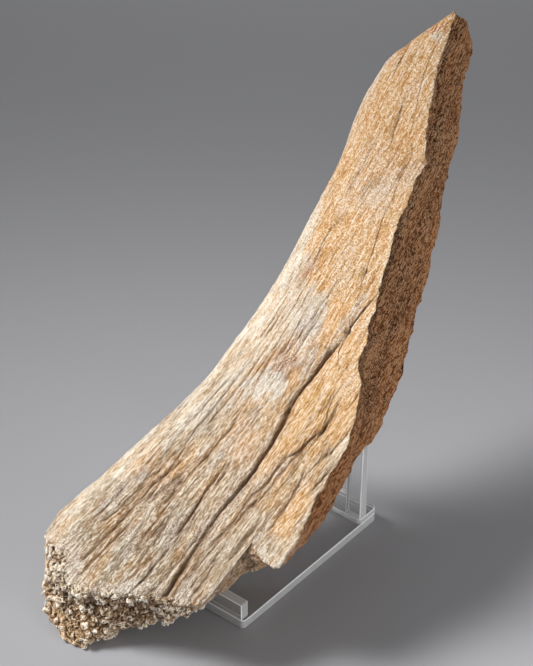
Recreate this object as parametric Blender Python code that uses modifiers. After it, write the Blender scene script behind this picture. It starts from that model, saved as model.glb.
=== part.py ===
# A broken piece of fossil mammoth leg bone, leaning back on a clear acrylic stand.
# Metres, +Z up. The front of the stand faces -Y. The bone's heel rests on the surface in front
# of the stand, and its underside lies on the front lip and on the two posts, each cut to its height.

import math

import bmesh
import bpy
import numpy as np
from mathutils import Vector, noise

# Stand
BASE_WIDTH = 0.072
BASE_DEPTH = 0.108
PLATE = 0.005
CORNER_RADIUS = 0.0025
EDGE_SOFTNESS = 0.0004
LIP_DEPTH = 0.005
LIP_HEIGHT = 0.010
BAR_HEIGHT = 0.003
BAR_DEPTH = 0.0145
POST_WIDTH = 0.0094
POST_FOOT_DEPTH = 0.0055
POST_TOP_DEPTH = 0.0032
POST_TOPS = (0.0838, 0.0808)
JOINT_GAP = 0.0003

# How the bone lies: its own axes are u across, v from heel to tip, w out of the outer face
HEEL_X = -0.0175
HEEL_Y = -0.1147
LEAN = math.radians(35)
BONE_LENGTH = 0.3705
TRIANGLES_KEPT = 0.26

# Outlines of the bone, as (v, value) pairs. The outer face sags a little between its ends.
FACE_HEIGHT = [(0.0, 0.018), (0.025, 0.0175), (0.06, 0.0155), (0.1, 0.013), (0.15, 0.011),
               (0.2, 0.0105), (0.25, 0.011), (0.3, 0.0125), (0.34, 0.015), (0.372, 0.0175)]
UNDER_HEIGHT = [(0.0, -0.004), (0.025, -0.016), (0.04, -0.022), (0.06, -0.024), (0.1, -0.025),
                (0.2, -0.0255), (0.25, -0.025), (0.3, -0.0225), (0.336, -0.017), (0.36, -0.006),
                (0.372, 0.008)]
BACK_HEIGHT = [(0.08, -0.006), (0.1, -0.011), (0.12, -0.014), (0.15, -0.019), (0.19, -0.0235),
               (0.25, -0.024), (0.3, -0.0215), (0.336, -0.017), (0.351, -0.012), (0.365, -0.003),
               (0.372, 0.009)]
LEFT_EDGE = [(0.0, -0.052), (0.04, -0.054), (0.052, -0.055), (0.063, -0.0505), (0.08, -0.044),
             (0.107, -0.036), (0.135, -0.0275), (0.15, -0.024), (0.172, -0.022), (0.2, -0.0208),
             (0.24, -0.0212), (0.267, -0.0223), (0.289, -0.0268), (0.302, -0.0300), (0.315, -0.0312),
             (0.336, -0.0285), (0.342, -0.026), (0.347, -0.023), (0.355, -0.0185), (0.363, -0.011),
             (0.3705, -0.002)]
CREST = [(0.0, 0.0775), (0.08, 0.0775), (0.092, 0.0785), (0.1, 0.077), (0.12, 0.0755), (0.133, 0.0735),
         (0.145, 0.0748), (0.153, 0.0715), (0.164, 0.0665), (0.175, 0.0622), (0.188, 0.053),
         (0.199, 0.0516), (0.207, 0.046), (0.218, 0.0447), (0.232, 0.0422), (0.242, 0.0405),
         (0.248, 0.0355), (0.256, 0.0325), (0.27, 0.033), (0.284, 0.0295), (0.294, 0.0295),
         (0.3, 0.0245), (0.315, 0.0165), (0.332, 0.0095), (0.347, 0.0052), (0.357, 0.0045),
         (0.3705, 0.0012)]
BACK_EDGE = [(0.08, 0.070), (0.1, 0.0725), (0.12, 0.0726), (0.137, 0.069), (0.15, 0.0666),
             (0.163, 0.0678), (0.176, 0.066), (0.19, 0.0632), (0.21, 0.057), (0.23, 0.051),
             (0.25, 0.0445), (0.265, 0.0388), (0.285, 0.0313), (0.3, 0.0256), (0.318, 0.0200),
             (0.336, 0.0135), (0.351, 0.0085), (0.365, 0.0075), (0.3705, 0.005)]

# Lower end of the bone, as (share of the breadth, v): the rim of the outer face with the step
# between the two lobes, the toe of the spongy end, and where the underside begins
RIM = [(0.0, 0.044), (0.1, 0.042), (0.16, 0.036), (0.205, 0.031), (0.246, 0.0235), (0.305, 0.0203),
       (0.36, 0.0208), (0.416, 0.0232), (0.475, 0.0286), (0.553, 0.0316), (0.62, 0.0363),
       (0.694, 0.039), (0.777, 0.0416), (0.82, 0.0445), (0.843, 0.050), (0.848, 0.056), (0.858, 0.088),
       (0.88, 0.0835), (0.93, 0.0785), (0.96, 0.0785), (1.0, 0.0815)]
TOE = [(0.0, 0.043), (0.03, 0.036), (0.093, 0.024), (0.117, 0.0175), (0.186, 0.009), (0.243, 0.002),
       (0.297, 0.0), (0.364, -0.002), (0.416, -0.001), (0.454, 0.006), (0.49, 0.0135), (0.53, 0.0200),
       (0.583, 0.0240), (0.639, 0.0300), (0.733, 0.0400), (0.78, 0.0460), (0.804, 0.049),
       (0.835, 0.061), (0.86, 0.0725), (0.884, 0.0725), (0.922, 0.0765), (0.961, 0.080), (1.0, 0.0835)]
UNDER_RIM = [(0.0, 0.046), (0.1, 0.038), (0.2, 0.030), (0.3, 0.0275), (0.41, 0.0295), (0.5, 0.038),
             (0.6, 0.046), (0.7, 0.052), (0.8, 0.062), (0.86, 0.077), (0.92, 0.082), (1.0, 0.088)]

# Furrows along the grain: route as (v, u) pairs, width, depth
FURROWS = [
    ([(0.22, 0.043), (0.197, 0.040), (0.164, 0.034), (0.147, 0.035), (0.13, 0.037), (0.1, 0.036),
      (0.081, 0.033), (0.058, 0.033), (0.036, 0.034)], 0.0026, 0.0032),
    ([(0.141, 0.012), (0.13, 0.013), (0.116, 0.010), (0.102, 0.006), (0.078, 0.005)], 0.0020, 0.0016),
    ([(0.111, 0.0), (0.099, -0.005), (0.073, -0.011), (0.046, -0.017), (0.029, -0.024)], 0.0022, 0.0020),
    ([(0.07, 0.001), (0.056, -0.005), (0.034, -0.013), (0.024, -0.016)], 0.0020, 0.0016),
    ([(0.159, 0.061), (0.138, 0.057), (0.109, 0.046), (0.096, 0.045), (0.076, 0.0425)], 0.0022, 0.0018),
    ([(0.125, 0.063), (0.109, 0.062), (0.094, 0.062)], 0.0020, 0.0016),
    ([(0.31, 0.002), (0.298, 0.005), (0.285, 0.006)], 0.0016, 0.0010),
    ([(0.257, 0.001), (0.242, 0.001), (0.226, 0.001), (0.208, 0.001)], 0.0018, 0.0010),
    ([(0.185, 0.011), (0.173, 0.011), (0.151, 0.011)], 0.0018, 0.0012),
]

# Level of the toe in the thickness, how the end falls back to the rim and to the underside, the
# ledge above the toe (height, place across, levels in the thickness), and where the lobes part
TOE_LEVEL = 0.5
RIM_FALL = 1.15
UNDER_FALL = 1.4
LEDGE = 0.0035
LEDGE_PLACE = (0.32, 0.16)
LEDGE_LEVELS = (0.82, 0.64, 0.08)
LOBE_STEP = 0.853
STEP_WIDTH = 0.006

# The cross rows of the grid follow the broken end at first and are square to the bone further up
ROWS_START = 0.045
ROWS_SQUARE = 0.30
ROWS_TURN = 1.5
ROWS_CLOSER = 0.2

# Form of a section: roundness and level of the left side, swell of the outer face, hollow of the
# underside and where it runs, how far across the underside turns up to the break, swell of the break
SIDE_REACH = 0.75
ROUNDNESS = 3.0
SIDE_LEVEL = 0.4
CROWN = 0.0012
MARROW_DEPTH = 0.006
MARROW_STARTS = (0.08, 0.15)
MARROW_ENDS = (0.30, 0.36)
BREAK_STARTS = 0.72
BREAK_BULGE = 0.0016

# Relief of each kind of surface, as height and size of its lumps. Grain is stretched along the bone.
GRAIN_STRETCH = 0.16
GRAIN = (0.0007, 0.006)
SPLINTERS = (0.0016, 0.007)
SPONGE_LUMPS = (0.0018, 0.010)
SPONGE_PITS = (0.0030, 0.006)
SPONGE_SWELL = 0.0011
SPONGE_ENDS = (0.03, 0.11)
OUTER_FACING = (0.35, 0.75)

# Grid that the bone is shaped on, and how far round a rest its underside is flattened
ACROSS = 56
ALONG = 104
THROUGH = 14
REST_MARGIN = 0.003


def smooth_curve(pairs):
    """A function through the pairs, with the slopes of a Catmull-Rom spline."""
    x, y = np.array(pairs, float).T
    slope = np.gradient(y, x)

    def value(at):
        at = np.clip(np.asarray(at, float), x[0], x[-1])
        i = np.clip(np.searchsorted(x, at) - 1, 0, len(x) - 2)
        width = x[i + 1] - x[i]
        t = (at - x[i]) / width
        return (y[i] * (1 + 2 * t) * (1 - t) ** 2 + y[i + 1] * t * t * (3 - 2 * t)
                + width * slope[i] * t * (1 - t) ** 2 - width * slope[i + 1] * t * t * (1 - t))

    return value


def ease(low, high, at):
    t = np.clip((np.asarray(at, float) - low) / (high - low), 0, 1)
    return t * t * (3 - 2 * t)


def hump(centre, width, at):
    return np.exp(-(((np.asarray(at, float) - centre) / width) ** 2))


face_height = smooth_curve(FACE_HEIGHT)
under_height = smooth_curve(UNDER_HEIGHT)
back_height = smooth_curve(BACK_HEIGHT)
left_edge = smooth_curve(LEFT_EDGE)
crest = smooth_curve(CREST)
back_edge = smooth_curve(BACK_EDGE)
toe_line = smooth_curve(TOE)
under_rim = smooth_curve(UNDER_RIM)


def end_distance(a, through):
    """v of the broken lower end, at a across and at a share of the thickness."""
    share = share_at(SIDE_REACH) * (1 - a) + a
    rim, toe, under = np.interp(share, *np.array(RIM).T), toe_line(a), under_rim(share)
    upper = np.clip((through - TOE_LEVEL) / (1 - TOE_LEVEL), 0, 1)
    lower = np.clip((TOE_LEVEL - through) / TOE_LEVEL, 0, 1)
    high, low, width = LEDGE_LEVELS
    ledge = LEDGE * hump(*LEDGE_PLACE, a) * (hump(high, width, through) - hump(low, width, through))
    return toe + (rim - toe) * upper ** RIM_FALL + (under - toe) * lower ** UNDER_FALL + ledge


def share_at(height):
    """Share of the breadth where the round left side reaches this share of its height."""
    return 1 - (1 - np.abs(height) ** ROUNDNESS) ** (1 / ROUNDNESS)


def height_at(share):
    return (1 - (1 - share) ** ROUNDNESS) ** (1 / ROUNDNESS)


def half_section(share, height, v, upper):
    """(u, w) on the outer face (upper) or the underside of the section at v."""
    left, right = left_edge(v), crest(v) if upper else back_edge(v)
    left_w = SIDE_LEVEL * face_height(v) + (1 - SIDE_LEVEL) * under_height(v)
    if upper:
        goal = face_height(v) + CROWN * np.sin(math.pi * share)
    else:
        marrow = MARROW_DEPTH * ease(*MARROW_STARTS, v) * (1 - ease(*MARROW_ENDS, v))
        turned = (back_height(v) - under_height(v)) * ease(BREAK_STARTS, 1.0, share)
        goal = under_height(v) + turned + marrow * np.sin(math.pi * share) ** 2
    return left + (right - left) * share, left_w + (goal - left_w) * height


def skin(a, through, along):
    """Points (u, v, w) on the sides of the bone: the box sides a = 0, a = 1, through = 0 or through = 1."""
    first = share_at(SIDE_REACH)
    turn = SIDE_REACH * (2 * through - 1)
    share = np.where(a == 0, share_at(turn), first + (1 - first) * a)
    height = np.where(a == 0, np.abs(turn), height_at(share))
    lag = (end_distance(a, through) - ROWS_START) * np.clip(1 - along / ROWS_SQUARE, 0, 1) ** ROWS_TURN
    v = ROWS_START + (BONE_LENGTH - ROWS_START) * along + lag
    low_u, low_w = half_section(share, height, v, False)
    high_u, high_w = half_section(share, height, v, True)
    part = np.where(a == 0, turn > 0, np.where(a == 1, through, through > 0.5))
    bulge = np.where(a == 1, BREAK_BULGE * np.sin(math.pi * through), 0)
    return np.stack([low_u + (high_u - low_u) * part + bulge, v, low_w + (high_w - low_w) * part], axis=-1)


def end_patch(across, through, along):
    """Points that fill an end of the bone, spread between its four sides there."""
    a, c = across[:, None], through[None, :]
    top, bottom = skin(across, 1.0, along)[:, None], skin(across, 0.0, along)[:, None]
    left, right = skin(0.0, through, along)[None], skin(1.0, through, along)[None]
    a, c = a[..., None], c[..., None]
    points = ((1 - c) * bottom + c * top + (1 - a) * left + a * right
              - (1 - a) * ((1 - c) * bottom[:1] + c * top[:1]) - a * ((1 - c) * bottom[-1:] + c * top[-1:]))
    if along == 0:
        points[..., 1] = end_distance(a, c)[..., 0]
    return points


def grid_lines():
    """Steps across, through and along the box, closer at the step between the lobes and at the heel."""
    first = share_at(SIDE_REACH)
    step = (LOBE_STEP - first) / (1 - first)
    across = np.linspace(0, 1, ACROSS + 1)
    nearest = int(np.argmin(np.abs(across - step)))
    across[nearest:nearest + 2] = step - STEP_WIDTH, step + STEP_WIDTH
    along = np.linspace(0, 1, ALONG + 1)
    return across, np.linspace(0, 1, THROUGH + 1), (1 - ROWS_CLOSER) * along + ROWS_CLOSER * along ** 2


def box_skin():
    """Points (u, v, w) and quads of the bone's skin, before its relief."""
    across, through, along = grid_lines()
    a, c, b = np.meshgrid(across, through, along, indexing="ij")
    places = np.zeros(a.shape + (3,))
    for side in (np.s_[0], np.s_[-1], np.s_[:, 0], np.s_[:, -1]):
        places[side] = skin(a[side], c[side], b[side])
    places[1:-1, 1:-1, 0] = end_patch(across, through, 0.0)[1:-1, 1:-1]
    places[1:-1, 1:-1, -1] = end_patch(across, through, 1.0)[1:-1, 1:-1]
    outside = np.zeros(a.shape, bool)
    quads = []
    ids = np.arange(a.size).reshape(a.shape)
    for side in (np.s_[0], np.s_[-1], np.s_[:, 0], np.s_[:, -1], np.s_[:, :, 0], np.s_[:, :, -1]):
        outside[side] = True
        sheet = ids[side]
        corners = [sheet[:-1, :-1], sheet[1:, :-1], sheet[1:, 1:], sheet[:-1, 1:]]
        quads.append(np.stack(corners, axis=-1).reshape(-1, 4))
    kept = np.cumsum(outside.ravel()) - 1
    return places[outside], kept[np.concatenate(quads)]


def lumps(points, size, seed):
    """Smooth noise between about -1 and 1, one value for each point; seed sets where it is read."""
    shift = Vector((seed * 7.3, seed * 3.1, seed * 5.7))
    return np.array([noise.noise(Vector(point) / size + shift) for point in points])


def distance_to_route(u, v, route):
    """Distance from each (u, v) to a route of (v, u) pairs."""
    near = np.full(len(u), 1.0)
    for (v0, u0), (v1, u1) in zip(route, route[1:]):
        length = (u1 - u0) ** 2 + (v1 - v0) ** 2
        t = np.clip(((u - u0) * (u1 - u0) + (v - v0) * (v1 - v0)) / length, 0, 1)
        near = np.minimum(near, np.hypot(u - u0 - t * (u1 - u0), v - v0 - t * (v1 - v0)))
    return near


def relief(points, normals):
    """How far each point moves along its normal: furrows, grain, broken and spongy bone."""
    u, v = points[:, 0], points[:, 1]
    outer = ease(*OUTER_FACING, normals[:, 2])
    spongy = (1 - outer) * (1 - ease(*SPONGE_ENDS, v))
    broken = (1 - outer) * (1 - spongy)
    move = np.zeros(len(points))
    for route, width, depth in FURROWS:
        move -= outer * depth * np.exp(-((distance_to_route(u, v, route) / width) ** 2))
    grain = points * np.array([1.0, GRAIN_STRETCH, 1.0])
    move += outer * GRAIN[0] * lumps(grain, GRAIN[1], 1)
    move += broken * SPLINTERS[0] * lumps(grain, SPLINTERS[1], 2)
    pits = SPONGE_PITS[0] * np.abs(lumps(points, SPONGE_PITS[1], 4))
    move += spongy * (SPONGE_SWELL + SPONGE_LUMPS[0] * lumps(points, SPONGE_LUMPS[1], 3) - pits)
    return move


def lift_clear(places, margin):
    """Raises the points that would dip into the ground, the lip or the posts."""
    x, y, z = places.T
    z = np.maximum(z, 0)
    for (left, right), (front, back), top in resting_tops():
        over = (x > left - margin) & (x < right + margin) & (y > front - margin) & (y < back + margin)
        z = np.where(over, np.maximum(z, top + JOINT_GAP), z)
    return np.stack([x, y, z], axis=1)


def resting_tops():
    """Footprint and height of what the bone lies on: the front lip and the two posts."""
    half, front, back = BASE_WIDTH / 2, -BASE_DEPTH / 2, BASE_DEPTH / 2
    post_back = back - BAR_DEPTH + POST_FOOT_DEPTH
    yield (-half, half), (front, front + LIP_DEPTH), PLATE + LIP_HEIGHT
    yield (-half, -half + POST_WIDTH), (post_back - POST_TOP_DEPTH, post_back), POST_TOPS[0]
    yield (half - POST_WIDTH, half), (post_back - POST_TOP_DEPTH, post_back), POST_TOPS[1]


def read_points(mesh):
    flat = np.empty(len(mesh.vertices) * 3)
    mesh.vertices.foreach_get("co", flat)
    return flat.reshape(-1, 3)


def read_normals(mesh):
    flat = np.empty(len(mesh.vertices) * 3)
    mesh.vertex_normals.foreach_get("vector", flat)
    return flat.reshape(-1, 3)


def make_bone(collection):
    points, quads = box_skin()
    mesh = bpy.data.meshes.new("bone")
    mesh.from_pydata(points.tolist(), [], quads.tolist())
    form = bmesh.new()
    form.from_mesh(mesh)
    bmesh.ops.recalc_face_normals(form, faces=form.faces)
    form.to_mesh(mesh)
    form.free()
    normals = read_normals(mesh)
    u, v, w = (points + normals * relief(points, normals)[:, None]).T
    level, rise = math.cos(LEAN), math.sin(LEAN)
    places = np.stack([HEEL_X + u, HEEL_Y + level * v - rise * w, rise * v + level * w], axis=1)
    mesh.vertices.foreach_set("co", lift_clear(places, REST_MARGIN).ravel())
    mesh.update()

    bone = bpy.data.objects.new("bone", mesh)
    collection.objects.link(bone)
    facets = bone.modifiers.new("Facets", "DECIMATE")
    facets.ratio = TRIANGLES_KEPT
    facets.use_collapse_triangulate = True
    bone.data = bpy.data.meshes.new_from_object(bone.evaluated_get(bpy.context.evaluated_depsgraph_get()))
    bone.modifiers.clear()
    settled = lift_clear(read_points(bone.data), REST_MARGIN / 2)
    bone.data.vertices.foreach_set("co", settled.ravel())
    bone.data.update()
    bone.data.shade_smooth()
    return bone


def make_block(name, collection, size, place, corner=0.0, top_depth=None):
    """A block of acrylic standing at place; top_depth draws its top back at the front."""
    width, depth, height = size
    form = bmesh.new()
    bmesh.ops.create_cube(form, size=1.0)
    for vertex in form.verts:
        vertex.co.x *= width
        vertex.co.y *= depth
        vertex.co.z = (vertex.co.z + 0.5) * height
        if top_depth and vertex.co.z > 0 and vertex.co.y < 0:
            vertex.co.y = depth / 2 - top_depth
    if corner:
        upright = [edge for edge in form.edges if abs(edge.verts[0].co.z - edge.verts[1].co.z) > height / 2]
        bmesh.ops.bevel(form, geom=upright, offset=corner, segments=4, profile=0.5, affect="EDGES")
    mesh = bpy.data.meshes.new(name)
    form.to_mesh(mesh)
    form.free()
    block = bpy.data.objects.new(name, mesh)
    block.location = place
    collection.objects.link(block)
    edges = block.modifiers.new("Soft edges", "BEVEL")
    edges.width = EDGE_SOFTNESS
    edges.segments = 2
    edges.limit_method = "ANGLE"
    edges.angle_limit = math.radians(50)
    return block


def make_stand(collection):
    half, front, back = BASE_WIDTH / 2, -BASE_DEPTH / 2, BASE_DEPTH / 2
    on_plate = PLATE + JOINT_GAP
    foot = on_plate + BAR_HEIGHT + JOINT_GAP
    bar_y = back - BAR_DEPTH / 2
    post_y = back - BAR_DEPTH + POST_FOOT_DEPTH / 2
    lip_size = (BASE_WIDTH - CORNER_RADIUS, LIP_DEPTH, LIP_HEIGHT - JOINT_GAP)
    pieces = [
        make_block("acrylic_base", collection, (BASE_WIDTH, BASE_DEPTH, PLATE), (0, 0, 0), CORNER_RADIUS),
        make_block("acrylic_front_lip", collection, lip_size, (0, front + LIP_DEPTH / 2, on_plate)),
        make_block("acrylic_rear_bar", collection, (BASE_WIDTH, BAR_DEPTH, BAR_HEIGHT), (0, bar_y, on_plate),
                   CORNER_RADIUS),
    ]
    posts = (("acrylic_post_left", -1, POST_TOPS[0]), ("acrylic_post_right", 1, POST_TOPS[1]))
    for name, side, top in posts:
        post_x = side * (half - POST_WIDTH / 2)
        pieces.append(make_block(name, collection, (POST_WIDTH, POST_FOOT_DEPTH, top - foot),
                                 (post_x, post_y, foot), top_depth=POST_TOP_DEPTH))
    return pieces


def make_material(name, colour, roughness, transmission, ior):
    material = bpy.data.materials.new(name)
    material.use_nodes = True
    shader = material.node_tree.nodes["Principled BSDF"]
    shader.inputs["Base Color"].default_value = (*colour, 1)
    shader.inputs["Roughness"].default_value = roughness
    shader.inputs["Metallic"].default_value = 0.0
    shader.inputs["Transmission Weight"].default_value = transmission
    shader.inputs["IOR"].default_value = ior
    return material


def centre_on_origin(pieces):
    """Stands the whole object on z = 0 with the middle of its box on the Z axis."""
    bpy.context.view_layer.update()
    graph = bpy.context.evaluated_depsgraph_get()
    corners = []
    for piece in pieces:
        mesh = piece.evaluated_get(graph).to_mesh()
        corners.append(read_points(mesh) + np.array(piece.location))
        piece.evaluated_get(graph).to_mesh_clear()
    corners = np.concatenate(corners)
    low, high = corners.min(axis=0), corners.max(axis=0)
    shift = Vector((-(low[0] + high[0]) / 2, -(low[1] + high[1]) / 2, -low[2]))
    for piece in pieces:
        piece.location += shift


def main():
    for thing in list(bpy.data.objects):
        bpy.data.objects.remove(thing, do_unlink=True)
    collection = bpy.data.collections.new("Mammoth bone on stand")
    bpy.context.scene.collection.children.link(collection)
    bone = make_bone(collection)
    bone.data.materials.append(make_material("Fossil bone", (0.55, 0.36, 0.17), 0.8, 0.0, 1.5))
    stand = make_stand(collection)
    acrylic = make_material("Clear acrylic", (0.95, 0.96, 0.97), 0.05, 1.0, 1.49)
    for piece in stand:
        piece.data.materials.append(acrylic)
    centre_on_origin([bone] + stand)


main()
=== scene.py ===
import math

import bmesh
import bpy
import numpy as np
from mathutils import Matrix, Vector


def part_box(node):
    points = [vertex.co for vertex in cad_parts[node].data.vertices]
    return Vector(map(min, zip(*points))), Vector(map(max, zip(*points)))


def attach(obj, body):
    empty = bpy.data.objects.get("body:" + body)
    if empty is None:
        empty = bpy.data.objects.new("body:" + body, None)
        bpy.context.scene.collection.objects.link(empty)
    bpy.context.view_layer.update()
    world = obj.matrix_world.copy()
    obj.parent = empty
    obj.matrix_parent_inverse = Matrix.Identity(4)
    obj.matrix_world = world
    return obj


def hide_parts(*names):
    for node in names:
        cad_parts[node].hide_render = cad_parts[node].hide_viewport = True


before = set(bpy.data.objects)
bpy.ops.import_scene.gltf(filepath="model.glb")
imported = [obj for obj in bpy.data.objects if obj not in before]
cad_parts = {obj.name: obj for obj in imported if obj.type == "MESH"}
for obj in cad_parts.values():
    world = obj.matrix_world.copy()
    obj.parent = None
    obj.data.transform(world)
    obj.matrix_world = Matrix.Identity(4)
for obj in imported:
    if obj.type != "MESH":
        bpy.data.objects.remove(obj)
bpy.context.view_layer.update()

import openvdb
from mathutils import Vector, noise
from mathutils.kdtree import KDTree

baseLow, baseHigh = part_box("acrylic_base")
baseMiddle = (baseLow + baseHigh) / 2
mm = 0.001


# small helpers

def curveThrough(pairs):
    # a smooth line through (place, value) pairs
    x, y = np.array(pairs, float).T
    slope = np.gradient(y, x)

    def value(at):
        at = np.clip(np.asarray(at, float), x[0], x[-1])
        i = np.clip(np.searchsorted(x, at) - 1, 0, len(x) - 2)
        width = x[i + 1] - x[i]
        t = (at - x[i]) / width
        return (y[i] * (1 + 2 * t) * (1 - t) ** 2 + y[i + 1] * t * t * (3 - 2 * t)
                + width * slope[i] * t * (1 - t) ** 2 - width * slope[i + 1] * t * t * (1 - t))

    return value


def ease(low, high, at):
    t = np.clip((np.asarray(at, float) - low) / (high - low), 0, 1)
    return t * t * (3 - 2 * t)


def hump(centre, width, at):
    return np.exp(-(((np.asarray(at, float) - centre) / width) ** 2))


def lumps(points, size, seed):
    # smooth noise from about -1 to 1. size is one number, or one for each direction
    spots = points / np.asarray(size, float) + (seed * 7.31, seed * 3.17, seed * 5.71)
    return np.array([noise.noise(spot) for spot in spots.tolist()])


# the bone's form: u across, v from heel to tip, w out of the outer face

boneForm = {
    "heel": (-0.0175, -0.1147),      # where it stands, from the middle of the base
    "lean": 35,                      # degrees
    "length": 0.3705,
    "face": [(0.0, 0.018), (0.025, 0.0175), (0.06, 0.0155), (0.1, 0.013), (0.15, 0.011), (0.2, 0.0105),
             (0.25, 0.011), (0.3, 0.0125), (0.34, 0.015), (0.372, 0.0175)],
    "under": [(0.0, -0.004), (0.025, -0.016), (0.04, -0.022), (0.06, -0.024), (0.1, -0.025), (0.2, -0.0255),
              (0.25, -0.025), (0.3, -0.0225), (0.336, -0.017), (0.36, -0.006), (0.372, 0.008)],
    "back": [(0.08, -0.006), (0.1, -0.011), (0.12, -0.014), (0.15, -0.019), (0.19, -0.0235), (0.25, -0.024),
             (0.3, -0.0215), (0.336, -0.017), (0.351, -0.012), (0.365, -0.003), (0.372, 0.009)],
    "leftEdge": [(0, -0.052), (0.04, -0.0535), (0.052, -0.0545), (0.063, -0.0505), (0.08, -0.0443),
                 (0.107, -0.036), (0.135, -0.0273), (0.15, -0.0232), (0.172, -0.021), (0.19, -0.0193),
                 (0.205, -0.0187), (0.22, -0.0192), (0.24, -0.0205), (0.267, -0.022), (0.28, -0.023),
                 (0.289, -0.025), (0.302, -0.028), (0.315, -0.0293), (0.328, -0.0285), (0.336, -0.0275),
                 (0.342, -0.025), (0.347, -0.0215), (0.355, -0.016), (0.363, -0.0088), (0.3705, -0.001)],
    "crest": [(0, 0.0785), (0.08, 0.0785), (0.09, 0.0787), (0.096, 0.0782), (0.106, 0.0767),
              (0.1165, 0.0749), (0.126, 0.0745), (0.135, 0.0742), (0.143, 0.0744), (0.1505, 0.0732),
              (0.159, 0.0702), (0.167, 0.0679), (0.173, 0.0652), (0.178, 0.0628), (0.185, 0.0568),
              (0.191, 0.0541), (0.199, 0.053), (0.204, 0.05), (0.215, 0.0478), (0.224, 0.0442),
              (0.232, 0.0418), (0.242, 0.0392), (0.25, 0.0362), (0.258, 0.0338), (0.27, 0.0328),
              (0.284, 0.0295), (0.294, 0.0295), (0.3, 0.0252), (0.315, 0.0178), (0.332, 0.0108),
              (0.347, 0.0062), (0.357, 0.0045), (0.3705, 0.0012)],
    "backEdge": [(0.06, 0.0705), (0.08, 0.0665), (0.09, 0.0672), (0.1, 0.0695), (0.108, 0.071),
                 (0.117, 0.0715), (0.127, 0.0705), (0.137, 0.0685), (0.143, 0.0672), (0.148, 0.0648),
                 (0.154, 0.0665), (0.163, 0.0678), (0.176, 0.066), (0.19, 0.0632), (0.21, 0.057),
                 (0.23, 0.051), (0.25, 0.0445), (0.265, 0.0388), (0.285, 0.0313), (0.3, 0.0256),
                 (0.318, 0.02), (0.336, 0.0135), (0.351, 0.0085), (0.365, 0.007), (0.3705, 0.004)],
    # the lower end, as (share of the breadth, v)
    "rim": [(0, 0.044), (0.1, 0.042), (0.16, 0.036), (0.205, 0.031), (0.246, 0.0235), (0.305, 0.0203),
            (0.36, 0.0208), (0.416, 0.0232), (0.475, 0.0286), (0.553, 0.0316), (0.62, 0.0363),
            (0.694, 0.039), (0.76, 0.0415), (0.8, 0.044), (0.825, 0.047), (0.834, 0.053), (0.838, 0.085),
            (0.867, 0.0825), (0.931, 0.079), (0.98, 0.079), (1, 0.08)],
    "toe": [(0, 0.043), (0.03, 0.036), (0.093, 0.024), (0.117, 0.0175), (0.186, 0.009), (0.243, 0.002),
            (0.297, 0), (0.364, -0.002), (0.416, -0.001), (0.454, 0.006), (0.49, 0.0135), (0.53, 0.0203),
            (0.583, 0.0255), (0.639, 0.0312), (0.69, 0.0362), (0.733, 0.0415), (0.765, 0.0462),
            (0.785, 0.0515), (0.804, 0.057), (0.835, 0.066), (0.86, 0.0722), (0.884, 0.074),
            (0.922, 0.0785), (0.961, 0.082), (1, 0.0845)],
    "underRim": [(0, 0.046), (0.1, 0.038), (0.2, 0.03), (0.3, 0.0275), (0.41, 0.0295), (0.5, 0.038),
                 (0.6, 0.0465), (0.66, 0.053), (0.7, 0.059), (0.74, 0.066), (0.78, 0.072), (0.83, 0.0765),
                 (0.87, 0.079), (0.92, 0.084), (1, 0.092)],
    "toeLevel": 0.5,                 # level of the toe in the thickness
    "rimCurve": 1.15,
    "underCurve": 1.4,
    "ledge": 0.0055,
    "ledgeAcross": (0.32, 0.16),     # middle and half width
    "ledgeLevels": (0.82, 0.64, 0.08),   # the swell, the hollow under it, and the half height of both
    "lobeStep": 0.836,               # where the two lobes part, and how steep the step is
    "stepWidth": 0.004,
    "rowsStart": 0.045,
    "rowsSquare": 0.30,
    "sideReach": 0.75,
    "roundness": 3.0,
    "sideLevel": 0.4,
    "crown": 0.0012,
    "marrowDepth": 0.006,
    "marrowSpan": (0.08, 0.15, 0.30, 0.36),
    "backTurn": 0.72,                # share of the breadth where the underside turns up to the back edge
    "bulge": 0.0016,                 # swell of the broken side
    "undercut": 0.0012,              # hollow under its top edge
    "undercutPlace": (0.84, 0.12),
    "columns": 200,
    "rows": 380,
    "layers": 56,
    "rests": {                       # how far the bone lies in over each rest
        "acrylic_front_lip": 0.0050,
        "acrylic_post_left": 0.0035,
        "acrylic_post_right": 0.0035,
    },
    "restGap": 0.0003,
    "restMargin": 0.003,             # how far round a rest the underside is flattened
    "mostTriangles": 196000,
}

skinSides = ["outer", "broken", "left", "under", "heel", "tip"]
faceHeight, underHeight, backHeight, leftEdge, crest, backEdge, toeLine, underRim = (
    curveThrough(boneForm[name])
    for name in ("face", "under", "back", "leftEdge", "crest", "backEdge", "toe", "underRim"))
rimShares, rimPlaces = np.array(boneForm["rim"]).T


def rimOf(u, v):
    # v of the outer face's rim straight below a point
    return np.interp((u - leftEdge(v)) / (crest(v) - leftEdge(v)), rimShares, rimPlaces)


def onSide(sides, name):
    return sides == skinSides.index(name)


def shareAt(height):
    # how far in from the left edge the round side has risen this much
    power = boneForm["roundness"]
    return 1 - (1 - np.abs(height) ** power) ** (1 / power)


def heightAt(share):
    power = boneForm["roundness"]
    return (1 - (1 - share) ** power) ** (1 / power)


firstShare = shareAt(boneForm["sideReach"])


def endPlace(a, through):
    # v of the broken lower end
    share = firstShare * (1 - a) + a
    rim, toe, under = np.interp(share, rimShares, rimPlaces), toeLine(a), underRim(share)
    level = boneForm["toeLevel"]
    upper = np.clip((through - level) / (1 - level), 0, 1)
    lower = np.clip((level - through) / level, 0, 1)
    swell, hollow, reach = boneForm["ledgeLevels"]
    ledge = boneForm["ledge"] * hump(*boneForm["ledgeAcross"], a)
    ledge = ledge * (hump(swell, reach, through) - hump(hollow, reach, through))
    upper, lower = upper ** boneForm["rimCurve"], lower ** boneForm["underCurve"]
    return toe + (rim - toe) * upper + (under - toe) * lower + ledge


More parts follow.
